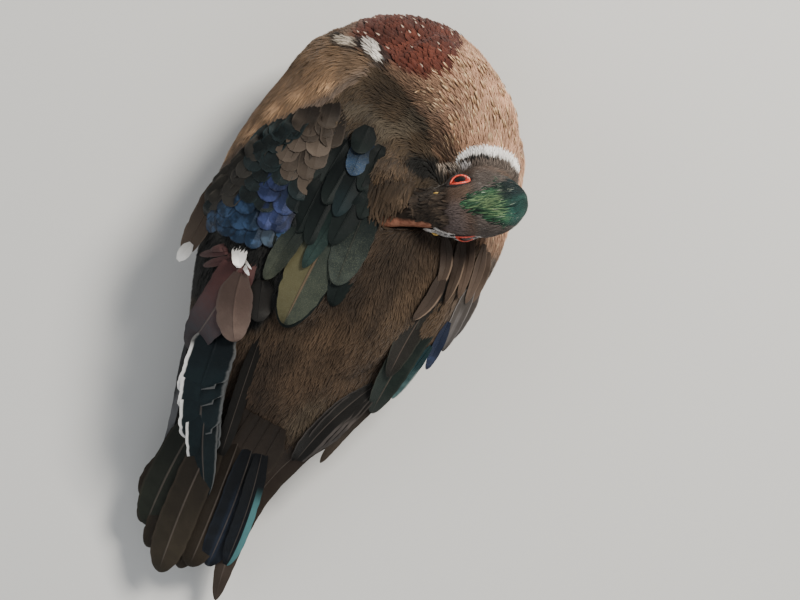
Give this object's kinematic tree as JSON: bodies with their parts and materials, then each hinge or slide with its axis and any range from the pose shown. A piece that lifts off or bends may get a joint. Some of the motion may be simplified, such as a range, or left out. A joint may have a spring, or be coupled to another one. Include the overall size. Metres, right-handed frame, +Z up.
{
  "type": "wood duck drake in eclipse plumage, resting life-size model",
  "caption": "Life-size resting drake wood duck in worn eclipse plumage, belly down, neck folded back and bill tucked in the back feathers.",
  "frame": {"origin": "under the middle of the whole bird's box, on the floor that the belly and feet rest on", "axes": "+Y from the tail to the breast, +X to the bird's right, +Z up"},
  "size_m": [0.164, 0.3484, 0.1275],
  "materials": {
    "body_plumage": "soft dark brown back, rump and belly feathers, with a chestnut breast and a paler belly",
    "brown_plumage": "brown neck and flank feathers with buff streaks",
    "wing_plumage": "dark wing and tail feathers with a blue and teal gloss",
    "head_plumage": "short dark grey-brown feathers, glossy green on the crest",
    "bill": "smooth horn, dark culmen over reddish sides",
    "eye": "wet, red iris with a dark pupil",
    "foot_skin": "scaly dull yellow skin with dark webs"
  },
  "bodies": {
    "root": {"bill_lower": "bill", "bill_upper": "bill", "eye_left": "eye", "eye_right": "eye", "flank_left": "brown_plumage", "flank_right": "brown_plumage", "foot_left": "foot_skin", "foot_right": "foot_skin", "head": "head_plumage", "hind_toe_left": "foot_skin", "hind_toe_right": "foot_skin", "leg_left": "foot_skin", "leg_right": "foot_skin", "mantle_fold": "body_plumage", "neck_lower": "brown_plumage", "neck_middle": "brown_plumage", "neck_upper": "brown_plumage", "tail": "wing_plumage", "trunk": "body_plumage", "wing_left_coverts": "wing_plumage", "wing_left_primaries": "wing_plumage", "wing_left_scapulars": "wing_plumage", "wing_left_secondaries": "wing_plumage", "wing_left_tertials": "wing_plumage", "wing_right_coverts": "wing_plumage", "wing_right_primaries": "wing_plumage", "wing_right_scapulars": "wing_plumage", "wing_right_secondaries": "wing_plumage", "wing_right_tertials": "wing_plumage"}
  },
  "joints": []
}
